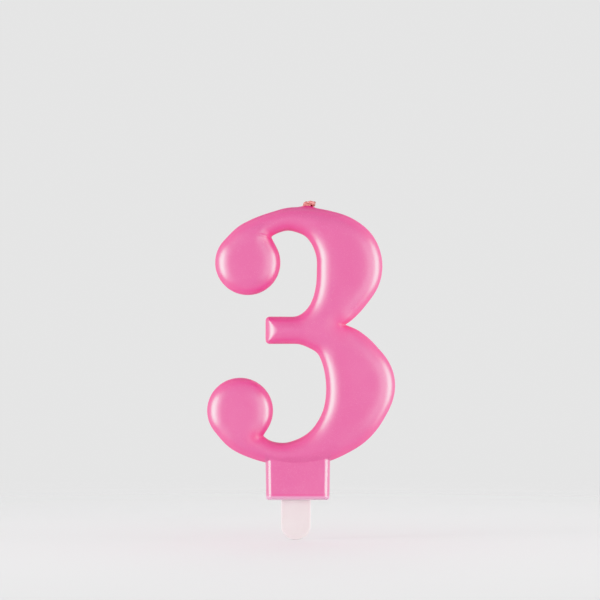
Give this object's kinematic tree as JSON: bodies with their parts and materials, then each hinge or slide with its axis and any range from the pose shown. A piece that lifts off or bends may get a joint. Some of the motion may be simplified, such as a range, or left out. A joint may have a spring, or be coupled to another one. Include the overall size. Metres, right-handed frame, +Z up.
{
  "type": "number birthday candle",
  "caption": "Moulded wax numeral three with ball ends and a rectangular foot, a plaited wick at the top, on a push-in plastic holder with a round-ended tongue for the cake.",
  "frame": {"origin": "on the holder's centre line, level with the underside of the candle's foot, where the cake's surface comes", "axes": "+Z up along the holder, +X across the numeral to the reader's right, +Y through its thickness, away from the reader"},
  "size_m": [0.0487, 0.012, 0.0879],
  "materials": {
    "pearl_wax": "pearlescent moulded wax, satin",
    "wick_cotton": "plaited cotton yarn soaked in wax",
    "holder_plastic": "white injection-moulded plastic, satin"
  },
  "bodies": {
    "holder": {"holder": "holder_plastic"},
    "candle": {"wax_body": "pearl_wax", "wick_yarn_1": "wick_cotton", "wick_yarn_2": "wick_cotton", "wick_yarn_3": "wick_cotton"}
  },
  "joints": [
    {"name": "candle_lift", "type": "slide", "parent": "holder", "child": "candle", "axis": [0, 0, 1], "range_m": [0, 0.012]}
  ]
}
